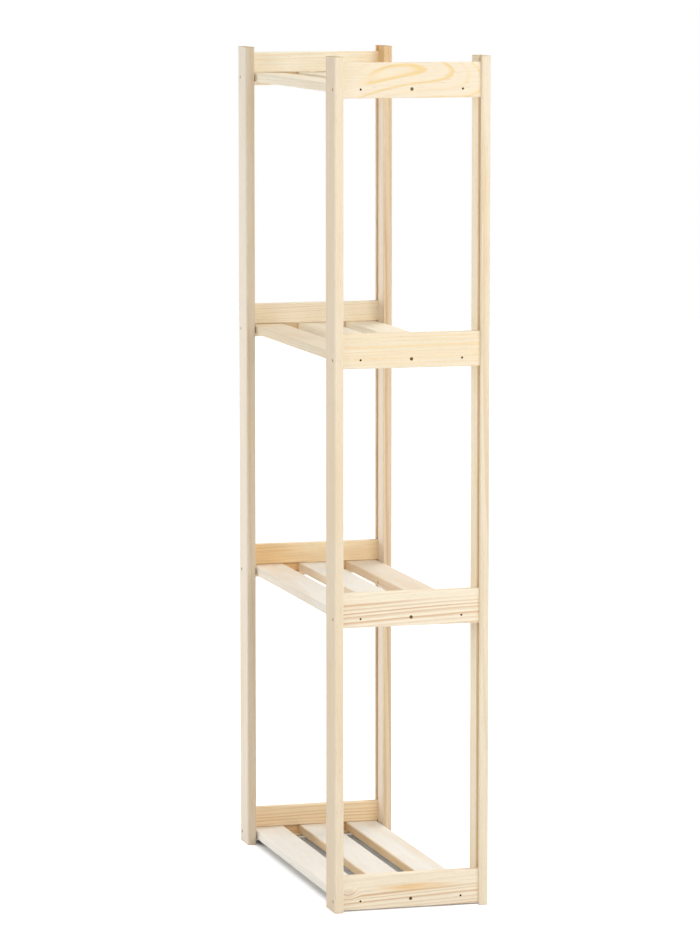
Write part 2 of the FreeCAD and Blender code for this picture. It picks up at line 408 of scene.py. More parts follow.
def edges_and_ends():
    """Masks for the pale long edges (wear and painted highlight), the sawn ends and painted groove shade.
    """
    tree, given, result = new_group(
        "Edges and ends", {"Place": VECTOR, "Half": VECTOR}, ("Edge", "End", "Painted Groove Shade")
    )
    inside = split(tree, move(tree, "SUBTRACT", given["Half"], move(tree, "ABSOLUTE", given["Place"])))
    nearer = calc(tree, "MINIMUM", inside["X"], inside["Y"])
    farther = calc(tree, "MAXIMUM", inside["X"], inside["Y"])
    second = calc(tree, "MAXIMUM", nearer, calc(tree, "MINIMUM", farther, inside["Z"]))
    nearest = calc(tree, "MINIMUM", nearer, inside["Z"])
    breaks = noise(tree, given["Place"], EDGE_BREAKS_PER_METRE)["Fac"]
    second = calc(tree, "MULTIPLY_ADD", breaks, EDGE_ROUGH, second)
    feed(tree, fall(tree, second, EDGE_INNER, EDGE_OUTER), result["Edge"])
    feed(tree, fall(tree, inside["X"], END_INNER, END_OUTER), result["End"])
    feed(tree, rise(tree, nearest, GROOVE_SHADE_INNER, GROOVE_SHADE_FULL), result["Painted Groove Shade"])
    return tree


EDGES = edges_and_ends()
print(EDGES.name, "has", len(EDGES.nodes), "nodes")

# %% [markdown]
# The finish of bare pine.
# Untreated pine is matte and cream, honey in the late wood, and a little warmer in clouds. This group
# lays those tones over each other in the order in which growth, a plane, a year of handling and a knot
# would, and gives back the colour, the roughness and a height for the bump: late wood is harder and
# stands proud of the early wood after planing. It also lays painted shade on the heartwood side of some
# boards, in grooves and holes and along the joint line, and the pale long edges are partly a painted
# highlight.

# %% Group: bare pine
KNOT_BROWN = srgb(148, 94, 48)
RESIN_ORANGE = srgb(236, 186, 108)
CANAL_BROWN = srgb(170, 122, 74)
# painted shadow colour for the line where slats meet a rail
JOINT_SHADOW_BROWN = srgb(150, 108, 66)
END_SHADE = srgb(214, 196, 170)
# painted shade multiplied over the walls of grooves and holes
GROOVE_PAINTED_SHADE = srgb(240, 226, 204)
# pale of the long edges: partly wear, partly a painted highlight
RUBBED_PALE_AND_HIGHLIGHT = srgb(250, 240, 222)
YEAR_LOW, YEAR_SPAN = 0.3, 0.7
CLOUD_START, CLOUD_FULL = 0.45, 0.8
CANAL_SHARE, EDGE_SHARE, END_SHARE = 0.3, 0.4, 0.8
STREAK_LOW, STREAK_SPAN = 0.9, 0.19
ROUGH_LOW, ROUGH_SPAN, ROUGH_END = 0.52, 0.2, 0.2
LATE_HEIGHT, CANAL_HEIGHT = 0.55, -0.5
PINE_MASKS = (
    "Late Wood", "Year Tone", "Boldness", "Heart", "Painted Shade Depth", "Clouds", "Warmth",
    "Resin", "Resin Depth", "Canals", "Edge", "End", "Painted Groove Shade", "Joint Shadow", "Knot", "Knot Depth", "Streaks",
)
PINE_COLOURS = ("Early Colour", "Late Colour", "Painted Shade Colour")


def bare_pine():
    """Colour, roughness and height of bare pine, from the masks of the other groups."""
    inputs = {**dict.fromkeys(PINE_MASKS, FLOAT), **dict.fromkeys(PINE_COLOURS, COLOR)}
    tree, given, result = new_group("Bare pine", inputs, ("Colour", "Roughness", "Height"))
    year = calc(tree, "MULTIPLY_ADD", given["Year Tone"], YEAR_SPAN, YEAR_LOW)
    late = calc(tree, "MULTIPLY", calc(tree, "MULTIPLY", given["Late Wood"], year), given["Boldness"])
    wood = tint(tree, late, given["Early Colour"], given["Late Colour"])
    # painted shade on the heartwood side of the board
    painted_shade = calc(tree, "MULTIPLY", given["Heart"], given["Painted Shade Depth"])
    wood = tint(tree, painted_shade, wood, given["Painted Shade Colour"], "MULTIPLY")
    warm = calc(tree, "MULTIPLY", rise(tree, given["Clouds"], CLOUD_START, CLOUD_FULL), given["Warmth"])
    wood = tint(tree, warm, wood, given["Late Colour"])
    wood = tint(tree, calc(tree, "MULTIPLY", given["Resin"], given["Resin Depth"]), wood, RESIN_ORANGE)
    wood = tint(tree, calc(tree, "MULTIPLY", given["Canals"], CANAL_SHARE), wood, CANAL_BROWN)
    # pale long edges: partly wear, partly a painted highlight
    wood = tint(tree, calc(tree, "MULTIPLY", given["Edge"], EDGE_SHARE), wood, RUBBED_PALE_AND_HIGHLIGHT)
    wood = tint(tree, calc(tree, "MULTIPLY", given["End"], END_SHARE), wood, END_SHADE, "MULTIPLY")
    # painted shade on the walls of grooves and holes
    wood = tint(tree, given["Painted Groove Shade"], wood, GROOVE_PAINTED_SHADE, "MULTIPLY")
    # painted shadow along the joint line of slats and rail
    wood = tint(tree, given["Joint Shadow"], wood, JOINT_SHADOW_BROWN)
    wood = tint(tree, calc(tree, "MULTIPLY", given["Knot"], given["Knot Depth"]), wood, KNOT_BROWN)
    streak = calc(tree, "MULTIPLY_ADD", given["Streaks"], STREAK_SPAN, STREAK_LOW)
    feed(tree, tint(tree, 1.0, wood, streak, "MULTIPLY"), result["Colour"])
    rough = calc(tree, "MULTIPLY_ADD", given["Streaks"], ROUGH_SPAN, ROUGH_LOW)
    feed(tree, calc(tree, "MULTIPLY_ADD", given["End"], ROUGH_END, rough), result["Roughness"])
    height = calc(tree, "MULTIPLY_ADD", given["Late Wood"], LATE_HEIGHT, given["Streaks"])
    feed(tree, calc(tree, "MULTIPLY_ADD", given["Canals"], CANAL_HEIGHT, height), result["Height"])
    return tree


PINE = bare_pine()
print(PINE.name, "has", len(PINE.nodes), "nodes")

# %% [markdown]
# How each kind of board was sawn.
# Every kind has a usual look: where its pith lay (across the width and through the thickness, in
# millimetres from the board's middle), how that line leans and bows over a metre, the width of a year,
# how far the lines waver and how bold they are, and the tones of early and late wood. The late wood of a
# year starts at a share of it, and warm says how much of its tone the clouds have. The pair called sap
# says how far across the board the heartwood ends and where the sapwood is full. The first number may be
# the larger one, and the heartwood then lies on the other side. A slant turns that border away from the
# grain. On a plain board it lies far outside, and the heartwood side gets no painted shade.

# %% Usual looks
CREAM, IVORY, CHALK = srgb(241, 226, 200), srgb(245, 233, 209), srgb(248, 242, 231)
PEARL, MILK, STRAW = srgb(238, 225, 206), srgb(252, 243, 222), srgb(237, 220, 192)
BISCUIT, WHEAT = srgb(246, 222, 184), srgb(250, 230, 192)
HONEY, AMBER = srgb(226, 190, 138), srgb(238, 204, 132)
TAN, RUST = srgb(206, 166, 118), srgb(206, 152, 96)
# painted shade colours, multiplied over the heartwood side of a board; the brown one also darkens the left
# end of the lower left rail
PALE_PAINTED_SHADE, GREY_PAINTED_SHADE = srgb(247, 232, 208), srgb(231, 226, 217)
COOL_PAINTED_SHADE, BROWN_PAINTED_SHADE = srgb(227, 225, 233), srgb(234, 208, 170)
# painted_shade and painted_shade_colour lay painted shade on the heartwood side of a board
PLAIN_BOARD = {
    "bow": (0, 0), "late_from": 0.3, "late": HONEY, "warm": 0.3,
    "sap": (900, 1000), "slant": 0, "painted_shade": 0, "painted_shade_colour": PALE_PAINTED_SHADE,
}
KIND_LOOKS = {
    "post": {"pith": (-170, 40), "lean": (4, 0), "ring": 3.4, "waver": 4, "bold": 0.5, "early": CREAM},
    "rail": {"pith": (-150, -50), "lean": (20, 10), "ring": 4, "waver": 6, "bold": 0.5, "early": CREAM},
    "slat": {"pith": (-120, -90), "lean": (6, 10), "ring": 4, "waver": 6, "bold": 0.3, "early": CHALK},
}
SHELF_LOOKS = {"slat_upper": {"early": MILK}, "slat_top": {"early": IVORY}}
print("kinds of boards:", ", ".join(KIND_LOOKS))

# %% [markdown]
# Boards with a look of their own.
# A maker picks boards from a stack, so no two are alike, and those whose figure is plain to see get a
# look of their own. The top rail on the right has a flame, because its pith lies close behind the board
# and bows away from it at both ends. The two lowest rails on the right show bold lines in their lower
# part. On several posts and slats one long edge or face is darker than the face beside it: painted shade,
# laid on the heartwood side of the border. On the lower left rail the same tint darkens the left end.

# %% Own looks
# where the painted shade lies: on the right edge, off the right edge, on the front edge
SHADE_ON_RIGHT_EDGE, SHADE_OFF_RIGHT_EDGE, SHADE_ON_FRONT_EDGE = (33, 24), (24, 33), (-34, -31)
OWN_LOOKS = {
    "rail_top_right": {
        "pith": (21.5, -11.3), "lean": (46, -99), "bow": (-1700, -1106), "ring": 11.6, "waver": 12,
        "bold": 0.8, "early": CREAM, "late": AMBER, "late_from": 0.55, "warm": 0.1,
        "sap": (160, 200), "slant": -2,
    },
    "rail_upper_right": {"pith": (-260, 0), "lean": (12, 0), "ring": 9, "waver": 5, "late": AMBER},
    "rail_lower_right": {
        "pith": (-130, 10), "lean": (45, 0), "ring": 8.5, "waver": 10, "bold": 0.75,
        "early": IVORY, "late": RUST, "sap": (9, 20),
    },
    "rail_bottom_right": {
        "pith": (-120, 10), "lean": (50, 0), "ring": 8, "waver": 10, "bold": 0.7,
        "early": IVORY, "late": RUST, "sap": (-4, 10),
    },
    "rail_top_left": {"early": MILK, "late": AMBER, "bold": 0.35, "ring": 7, "warm": 0.15},
    "rail_upper_left": {"early": IVORY},
    # its painted shade tint darkens its left end
    "rail_lower_left": {
        "early": WHEAT, "late": RUST, "bold": 0.4, "ring": 6,
        "sap": (-60, 20), "slant": 1, "painted_shade": 0.3, "painted_shade_colour": BROWN_PAINTED_SHADE,
    },
    "rail_bottom_left": {"early": BISCUIT, "late": RUST, "bold": 0.6, "ring": 7, "waver": 14},
    # the posts and slats below have painted shade on one edge or face
    "post_back_left": {
        "early": PEARL, "late": TAN, "bold": 0.7, "ring": 6, "sap": SHADE_ON_RIGHT_EDGE, "painted_shade": 0.75,
    },
    "post_front_left": {
        "early": PEARL, "sap": SHADE_ON_RIGHT_EDGE, "painted_shade": 0.9, "painted_shade_colour": GREY_PAINTED_SHADE,
    },
    "post_front_right": {
        "early": STRAW, "sap": SHADE_OFF_RIGHT_EDGE, "painted_shade": 0.25, "painted_shade_colour": COOL_PAINTED_SHADE,
    },
    "post_back_right": {
        "early": IVORY, "sap": SHADE_ON_RIGHT_EDGE, "painted_shade": 0.4, "painted_shade_colour": GREY_PAINTED_SHADE,
    },
    "slat_upper_front": {
        "early": CREAM, "sap": SHADE_ON_FRONT_EDGE, "painted_shade": 0.5, "painted_shade_colour": GREY_PAINTED_SHADE,
    },
    "slat_lower_front": {"sap": SHADE_ON_FRONT_EDGE, "painted_shade": 0.4, "painted_shade_colour": GREY_PAINTED_SHADE},
    "slat_lower_middle": {
        "bold": 0.15, "warm": 0, "sap": SHADE_ON_FRONT_EDGE, "painted_shade": 0.7, "painted_shade_colour": BROWN_PAINTED_SHADE,
    },
    "slat_lower_back": {
        "early": PEARL, "sap": SHADE_ON_FRONT_EDGE, "painted_shade": 0.6, "painted_shade_colour": BROWN_PAINTED_SHADE,
    },
    "slat_bottom_front": {"bold": 0.15, "warm": 0},
    "slat_bottom_middle": {"sap": SHADE_ON_FRONT_EDGE, "painted_shade": 0.9, "painted_shade_colour": BROWN_PAINTED_SHADE},
    "slat_bottom_back": {"sap": SHADE_ON_FRONT_EDGE, "painted_shade": 1, "painted_shade_colour": BROWN_PAINTED_SHADE},
}
SHIFT_STEP = 7.3
PITH_SWING = 34
GOLDEN_SHARE = 0.618


def board_look(index, name):
    """The look of a board: the usual one of its kind, moved a little from board to board, or its own."""
    look = {**PLAIN_BOARD, **KIND_LOOKS[kind_of(name)]}
    swing = PITH_SWING * (2 * (index * GOLDEN_SHARE % 1) - 1)
    look["pith"] = (look["pith"][0] + swing, look["pith"][1] - swing)
    look.update(SHELF_LOOKS.get(name.rsplit("_", 1)[0], {}))
    look.update(OWN_LOOKS.get(name, {}))
    look["shift"] = (SHIFT_STEP * (index + 1), 0, 0)
    return look


print("boards with a look of their own:", len(OWN_LOOKS))

# %% [markdown]
# Knots, resin and a painted joint shadow.
# Two boards have a knot and five have resin, at places in millimetres from the board's middle. A painted
# shadow lies along the inner face of each rail, where the slats come out of the groove. Every material has
# the same groups, so a board without one of these gets it at a point far away.

# %% Places of knots, resin and the painted joint shadow
FAR_OFF = (0, 0, -900)
KNOTS = {
    "rail_bottom_right": {"centre": (-130, 1, 9), "radius": 9, "depth": 0.12},
    "slat_lower_back": {"centre": (-108, -35, -2), "radius": 3.5, "depth": 0.8},
}
NO_KNOT = {"centre": FAR_OFF, "radius": 1, "depth": 0}
RESIN_SPOTS = {
    "rail_bottom_right": {"centre": (10, 7, 9), "reach": (115, 11, 30), "depth": 0.8},
    "rail_top_left": {"centre": (150, -5, 9), "reach": (80, 80, 30), "depth": 0.25},
    "rail_lower_left": {"centre": (-110, 0, 9), "reach": (140, 90, 30), "depth": 0.4},
    "slat_lower_front": {"centre": (-250, 0, 9), "reach": (260, 90, 40), "depth": 0.25},
    "post_back_left": {"centre": (850, 0, -9), "reach": (160, 80, 40), "depth": 1},
}
NO_RESIN = {"centre": FAR_OFF, "reach": (1, 1, 1), "depth": 0}
# the painted joint shadow lies along the top of the groove and reaches this far
GROOVE_TOP = -8
JOINT_SHADOW_REACH = (500, 1.8, 4)


def joint_shadow_line(name, half):
    """A point on the painted shadow line where slats meet a rail's inner face, or one far from any board.
    """
    if kind_of(name) != "rail":
        return metres(FAR_OFF)
    inner_face = half.z if name.endswith("left") else -half.z
    return Vector((0, GROOVE_TOP * MM, inner_face))


print("boards with a knot:", len(KNOTS), "and with resin:", len(RESIN_SPOTS))

# %% [markdown]
# One material to a board.
# The Mapping node brings a board's middle to zero and turns its length onto x. After it come the groups,
# each with this board's values. The smear group is placed twice, once for the resin and once for the
# painted joint shadow. The Principled shader stands at the end, with its constant settings written on
# its own sockets.

# %% Wood on every board
PLANED_SHEEN = 0.28
BUMP_STRENGTH = 0.35
BUMP_DEPTH = 0.35 * MM


def board_place(tree, name):
    """The board's own coordinates, and half its size."""
    centre, turn, half = board_frame(name)
    mapping = tree.nodes.new("ShaderNodeMapping")
    mapping.vector_type = "TEXTURE"
    mapping.inputs["Location"].default_value = centre
    mapping.inputs["Rotation"].default_value = turn
    coordinates = tree.nodes.new("ShaderNodeTexCoord")
    tree.links.new(coordinates.outputs["Object"], mapping.inputs["Vector"])
    return mapping.outputs["Vector"], half


def board_figure(tree, name, look):
    """The bare pine of one board, with the masks of all groups fed into it."""
    place, half = board_place(tree, name)
    in_log = {"Place": place, "Shift": look["shift"]}
    branch = KNOTS.get(name, NO_KNOT)
    spot = RESIN_SPOTS.get(name, NO_RESIN)
    knot = place_group(tree, KNOT, {
        "Place": place, "Centre": metres(branch["centre"]), "Radius": branch["radius"] * MM,
    })
    resin = place_group(tree, SMEAR, {
        **in_log, "Centre": metres(spot["centre"]), "Reach": metres(spot["reach"]),
    })
    joint_shadow = place_group(tree, SMEAR, {
        **in_log, "Centre": joint_shadow_line(name, half), "Reach": metres(JOINT_SHADOW_REACH),
    })
    rings = place_group(tree, RINGS, {
        **in_log, "Pith": metres((0, *look["pith"])), "Lean": metres((0, *look["lean"])),
        "Bow": metres((0, *look["bow"])), "Ring Width": look["ring"] * MM, "Waver": look["waver"] * MM,
        "Push": knot["Push"], "Late From": look["late_from"], "Sap From": look["sap"][0] * MM,
        "Sap To": look["sap"][1] * MM, "Sap Slant": look["slant"],
    })
    fibre = place_group(tree, FIBRE, in_log)
    edges = place_group(tree, EDGES, {"Place": place, "Half": half})
    masks = {mask.name: mask for group in (rings, fibre, edges) for mask in group}
    return place_group(tree, PINE, {
        **masks, "Boldness": look["bold"], "Painted Shade Depth": look["painted_shade"], "Warmth": look["warm"],
        "Resin": resin["Smear"], "Resin Depth": spot["depth"], "Joint Shadow": joint_shadow["Smear"],
        "Knot": knot["Core"], "Knot Depth": branch["depth"],
        "Early Colour": look["early"], "Late Colour": look["late"], "Painted Shade Colour": look["painted_shade_colour"],
    })


def pine_board(index, name):
    """The material of one board."""
    material = bpy.data.materials.new(name + "_pine")
    material.use_nodes = True
    tree = material.node_tree
    pine = board_figure(tree, name, board_look(index, name))
    bump = tree.nodes.new("ShaderNodeBump")
    bump.inputs["Strength"].default_value = BUMP_STRENGTH
    bump.inputs["Distance"].default_value = BUMP_DEPTH
    shader = tree.nodes["Principled BSDF"]
    shader.inputs["Specular IOR Level"].default_value = PLANED_SHEEN
    tree.links.new(pine["Height"], bump.inputs["Height"])
    tree.links.new(pine["Colour"], shader.inputs["Base Color"])
    tree.links.new(pine["Roughness"], shader.inputs["Roughness"])
    tree.links.new(bump.outputs["Normal"], shader.inputs["Normal"])
    return material


for number, board in enumerate(BOARDS):
    board_wood = pine_board(number, board)
    for wood_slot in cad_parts[board].material_slots:
        wood_slot.material = board_wood
print("boards dressed:", len(BOARDS))

# %% [markdown]
# Screws and nails.
# Every housed joint is pinned. A screw holds the middle slat to each rail and each rail to its posts, and
# a thinner nail holds the outer slats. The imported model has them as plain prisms, and here they are
# turned: a head with a rounded rim, a shank drawn down from under it and a point, all extruded from one
# disc, as a lathe or a header would form them.

# %% Turn a fastener from a disc
import bmesh
import math

NAIL = {
    "head_radius": 2.2 * MM, "head_height": 1.2 * MM, "shank_radius": 1.2 * MM, "full_length": 45 * MM,
    "tip": 4 * MM,
}
SCREW = {
    "head_radius": 3.5 * MM, "head_height": 2.0 * MM, "shank_radius": 1.45 * MM, "full_length": 40 * MM,
    "tip": 5 * MM,
}
SIDES = 24
RIM_SHARE, RIM_STEPS = 0.25, 3
POINT_SHARE = 0.08
UPRIGHT = 0.9


def pick_faces(test):
    """Selects only the faces that pass a test, in edit mode."""
    bpy.ops.mesh.select_mode(type="FACE")
    bpy.ops.mesh.select_all(action="DESELECT")
    mesh = bmesh.from_edit_mesh(bpy.context.object.data)
    for face in mesh.faces:
        if test(face):
            face.select_set(True)
    bmesh.update_edit_mesh(bpy.context.object.data)


def faces_down(face):
    """True for a face that looks straight down."""
    return face.normal.z < -UPRIGHT


def faces_up(face):
    """True for a face that looks straight up."""
    return face.normal.z > UPRIGHT


def pull(depth):
    """Extrudes what is selected straight down."""
    bpy.ops.mesh.extrude_region_move(TRANSFORM_OT_translate={"value": (0, 0, -depth)})


def turned_pin(name, head_radius, head_height, shank_radius, full_length, tip):
    """A headed pin that stands point down, with the top of its head at the origin."""
    bpy.ops.object.select_all(action="DESELECT")
    bpy.ops.mesh.primitive_cylinder_add(
        vertices=SIDES, radius=head_radius, depth=head_height, location=(0, 0, -head_height / 2)
    )
    pin = bpy.context.object
    pin.name = name
    bpy.ops.object.transform_apply(location=True, rotation=True, scale=True)
    bpy.ops.object.mode_set(mode="EDIT")
    pick_faces(faces_up)
    bpy.ops.mesh.bevel(offset=head_height * RIM_SHARE, segments=RIM_STEPS, affect="EDGES")
    pick_faces(faces_down)
    bpy.ops.mesh.inset(thickness=head_radius - shank_radius)
    pull(full_length - head_height - tip)
    pull(tip)
    bpy.ops.transform.resize(value=(POINT_SHARE, POINT_SHARE, 1))
    bpy.ops.object.mode_set(mode="OBJECT")
    return pin


nail_model = turned_pin("nail_model", **NAIL)
screw_model = turned_pin("screw_model", **SCREW)
print("turned a nail and a screw of", len(nail_model.data.polygons), "faces each")

# %% [markdown]
# The drive and the thread.
# A screw needs a cross for the driver and a thread for the wood. The cross is cut out of the head by two
# tapered blades, one across the other, as the punch does it. The thread is a small triangle that the
# Screw modifier winds round the shank, one pitch to each turn.

# %% Cut the cross and wind the thread
BLADE_SPAN, BLADE_WIDTH, BLADE_DEPTH = 4.0 * MM, 1.0 * MM, 1.3 * MM
BLADE_TAPER = (0.45, 0.7, 1.0)
THREAD_START, THREAD_SIZE, THREAD_PITCH = -9 * MM, 0.45 * MM, 1.8 * MM
THREAD_TURNS, THREAD_STEPS, THREAD_CORNERS = 13, 16, 3
QUARTER_TURN = math.radians(90)
SMOOTH_BELOW = math.radians(35)


def make_active(thing):
    """Leaves one object selected and active."""
    bpy.ops.object.select_all(action="DESELECT")
    thing.select_set(True)
    bpy.context.view_layer.objects.active = thing


def cut_blade(screw, turn):
    """Takes one tapered slot out of the head."""
    bpy.ops.object.select_all(action="DESELECT")
    bpy.ops.mesh.primitive_cube_add(size=2, rotation=(0, 0, turn))
    blade = bpy.context.object
    blade.scale = (BLADE_SPAN / 2, BLADE_WIDTH / 2, BLADE_DEPTH)
    bpy.ops.object.mode_set(mode="EDIT")
    pick_faces(faces_down)
    bpy.ops.transform.resize(value=BLADE_TAPER)
    bpy.ops.object.mode_set(mode="OBJECT")
    make_active(screw)
    cut = screw.modifiers.new("cross", "BOOLEAN")
    cut.operation = "DIFFERENCE"
    cut.object = blade
    bpy.ops.object.modifier_apply(modifier=cut.name)
    bpy.data.objects.remove(blade)


def wind_thread(screw):
    """Winds a triangle down the shank and joins it to the screw."""
    bpy.ops.object.select_all(action="DESELECT")
    bpy.ops.mesh.primitive_circle_add(
        vertices=THREAD_CORNERS, radius=THREAD_SIZE, location=(SCREW["shank_radius"], 0, THREAD_START),
        rotation=(QUARTER_TURN, QUARTER_TURN, 0),
    )
    thread = bpy.context.object
    bpy.ops.object.transform_apply(location=True, rotation=True, scale=True)
    winding = thread.modifiers.new("winding", "SCREW")
    winding.screw_offset = -THREAD_PITCH
    winding.iterations = THREAD_TURNS
    winding.steps = winding.render_steps = THREAD_STEPS
    bpy.ops.object.modifier_apply(modifier=winding.name)
    bpy.ops.object.mode_set(mode="EDIT")
    bpy.ops.mesh.select_all(action="SELECT")
    bpy.ops.mesh.fill_holes(sides=THREAD_CORNERS)
    bpy.ops.mesh.normals_make_consistent(inside=False)
    bpy.ops.object.mode_set(mode="OBJECT")
    make_active(screw)
    thread.select_set(True)
    bpy.ops.object.join()


for blade_turn in (0, QUARTER_TURN):
    cut_blade(screw_model, blade_turn)
wind_thread(screw_model)
for model in (nail_model, screw_model):
    make_active(model)
    bpy.ops.object.shade_smooth_by_angle(angle=SMOOTH_BELOW)
print("screw:", len(screw_model.data.polygons), "faces, nail:", len(nail_model.data.polygons), "faces")

# %% [markdown]
# Dull steel.
# The heads lie a little below the wood and have gone dull: the screws in the rails are brown, the nails
# are darker still, and the screws in the posts keep some of the yellow of their plating. Steel is a
# metal, so its colour is the colour of what it reflects. Blotches of tarnish and fine scratches change it
# and the roughness, and one group makes them for all three.

# %% Steel of the fasteners
BLOTCHES_PER_METRE = (900.0, 900.0, 900.0)
SCRATCHES_PER_METRE, SCRATCH_DETAIL = (6000.0, 700.0, 2500.0), 1.0
BLOTCH_START, BLOTCH_FULL = 0.4, 0.75
SCRATCH_START, SCRATCH_FULL = 0.3, 0.8
STEEL_ROUGH_LOW, STEEL_ROUGH_SPAN = 0.32, 0.3
STEEL_BUMP_DEPTH = 0.05 * MM


def tarnished_steel():
    """Colour, roughness and height of dull steel."""
    tree, given, result = new_group(
        "Tarnished steel",
        {"Place": VECTOR, "Dull": COLOR, "Bright": COLOR},
        ("Colour", "Roughness", "Height"),
    )
    blotch = noise(tree, given["Place"], BLOTCHES_PER_METRE)["Fac"]
    scratch = noise(tree, given["Place"], SCRATCHES_PER_METRE, SCRATCH_DETAIL)["Fac"]
    clean = rise(tree, blotch, BLOTCH_START, BLOTCH_FULL)
    worn = calc(tree, "MULTIPLY", clean, rise(tree, scratch, SCRATCH_START, SCRATCH_FULL))
    feed(tree, tint(tree, worn, given["Dull"], given["Bright"]), result["Colour"])
    feed(tree, calc(tree, "MULTIPLY_ADD", blotch, STEEL_ROUGH_SPAN, STEEL_ROUGH_LOW), result["Roughness"])
    feed(tree, scratch, result["Height"])
    return tree


STEEL = tarnished_steel()


def steel(name, dull, bright):
    """A metal material from the tarnished steel group."""
    material = bpy.data.materials.new(name)
    material.use_nodes = True
    tree = material.node_tree
    place = tree.nodes.new("ShaderNodeTexCoord").outputs["Object"]
    surface = place_group(tree, STEEL, {"Place": place, "Dull": dull, "Bright": bright})
    bump = tree.nodes.new("ShaderNodeBump")
    bump.inputs["Distance"].default_value = STEEL_BUMP_DEPTH
    shader = tree.nodes["Principled BSDF"]
    shader.inputs["Metallic"].default_value = 1.0
    tree.links.new(surface["Height"], bump.inputs["Height"])
    tree.links.new(surface["Colour"], shader.inputs["Base Color"])
    tree.links.new(surface["Roughness"], shader.inputs["Roughness"])
    tree.links.new(bump.outputs["Normal"], shader.inputs["Normal"])
    return material


brown_steel = steel("screw_steel", srgb(84, 70, 42), srgb(142, 126, 90))
yellow_steel = steel("post_screw_steel", srgb(128, 92, 58), srgb(178, 142, 98))
dark_steel = steel("nail_steel", srgb(44, 28, 8), srgb(86, 64, 28))
print(STEEL.name, "has", len(STEEL.nodes), "nodes")

# %% [markdown]
# Drive them in.
# All fasteners lie on one line above the lower edge of each rail: the line of its groove. So their places
# follow from the boards: the rail gives the height and the faces, the slats give the places along it, and
# the head is sunk a little. Each copy gets its own mesh, turned and moved there, and stands for the group
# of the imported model.

# %% Place the screws and nails
from collections import Counter

FASTENER_RISE = 17.5 * MM
HEAD_SINK = 0.8 * MM
SHELVES = ("bottom", "lower", "upper", "top")
SIDE_SIGNS = {"left": -1, "right": 1}
DEPTH_SIGNS = {"front": -1, "back": 1}
driven = Counter()


def drive_in(model, finish, node, point, outward):
    """Puts one copy of a fastener into the wood, with its head towards outward."""
    mesh = model.data.copy()
    mesh.materials.append(finish)
    turn = Vector((0, 0, 1)).rotation_difference(outward).to_matrix().to_4x4()
    mesh.transform(Matrix.Translation(point - HEAD_SINK * outward) @ turn)
    driven[node] += 1
    piece = bpy.data.objects.new(f"{node.removesuffix('s')}_{driven[node]:02d}", mesh)
    bpy.context.scene.collection.objects.link(piece)
    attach(piece, "root")
    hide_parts(node)


def pin_slats(shelf, side):
    """Drives a screw and two nails through a rail into the ends of its slats."""
    low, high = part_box(f"rail_{shelf}_{side}")
    outward = Vector((SIDE_SIGNS[side], 0, 0))
    face = high.x if outward.x > 0 else low.x
    for row in ("front", "middle", "back"):
        slat_low, slat_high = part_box(f"slat_{shelf}_{row}")
        point = Vector((face, (slat_low.y + slat_high.y) / 2, low.z + FASTENER_RISE))
        if row == "middle":
            drive_in(screw_model, brown_steel, "slat_screws", point, outward)
        else:
            drive_in(nail_model, dark_steel, "slat_nails", point, outward)


def pin_rail(shelf, side):
    """Drives a screw through each post into an end of the rail."""
    low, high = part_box(f"rail_{shelf}_{side}")
    for end, sign in DEPTH_SIGNS.items():
        post_low, post_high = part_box(f"post_{end}_{side}")
        face = post_high.y if sign > 0 else post_low.y
        point = Vector(((low.x + high.x) / 2, face, low.z + FASTENER_RISE))
        drive_in(screw_model, yellow_steel, "post_screws", point, Vector((0, sign, 0)))


for shelf_name in SHELVES:
    for side_name in SIDE_SIGNS:
        pin_slats(shelf_name, side_name)
        pin_rail(shelf_name, side_name)
bpy.data.objects.remove(screw_model)
bpy.data.objects.remove(nail_model)
print("fasteners driven in:", dict(driven))

# %% [markdown]
# The floor.
# A sheet of white paper makes a plain catalogue floor and shows the shadow of the unit. Rays that come
# straight from the camera, or by way of a shiny or clear surface, see some light of the paper's own on
# top, so that the lit floor runs out to white while the shadow stays. That light grows with the distance
# and is left out under the unit.

# %% Floor
FLOOR_SIZE = 24.0
PAPER_WHITE = (0.9, 0.9, 0.9, 1.0)
PAPER_ROUGH, PAPER_SHEEN = 0.9, 0.0
PURE_WHITE = (1.0, 1.0, 1.0, 1.0)
NEAR_GLOW, FAR_GLOW = 0.45, 0.9
GLOW_START, GLOW_FULL = 0.4, 4.0
UNDER_START, UNDER_FULL = -0.03, -0.005


def seen_directly(tree):
    """1 for rays from the camera, a reflection or through glass, and 0 for light on its way."""
    path = tree.nodes.new("ShaderNodeLightPath").outputs
    mirrored = calc(tree, "MAXIMUM", path["Is Glossy Ray"], path["Is Transmission Ray"])
    return calc(tree, "MAXIMUM", path["Is Camera Ray"], mirrored)


def paper_glow(tree):
    """How brightly the paper shines by itself at a place."""
    place = tree.nodes.new("ShaderNodeTexCoord").outputs["Object"]
    outer = rise(tree, length(tree, place), GLOW_START, GLOW_FULL)
    glow = calc(tree, "MULTIPLY_ADD", outer, FAR_GLOW - NEAR_GLOW, NEAR_GLOW)
    past_x, past_y, _ = split(tree, move(tree, "SUBTRACT", move(tree, "ABSOLUTE", place), cad_high))
    clear = rise(tree, calc(tree, "MAXIMUM", past_x, past_y), UNDER_START, UNDER_FULL)
    return calc(tree, "MULTIPLY", calc(tree, "MULTIPLY", glow, clear), seen_directly(tree))


def white_paper():
    """The material of the floor."""
    material = bpy.data.materials.new("white_paper")
    material.use_nodes = True
    tree = material.node_tree
    shader = tree.nodes["Principled BSDF"]
    shader.inputs["Base Color"].default_value = PAPER_WHITE
    shader.inputs["Roughness"].default_value = PAPER_ROUGH
    shader.inputs["Specular IOR Level"].default_value = PAPER_SHEEN
    shader.inputs["Emission Color"].default_value = PURE_WHITE
    tree.links.new(paper_glow(tree), shader.inputs["Emission Strength"])
    return material


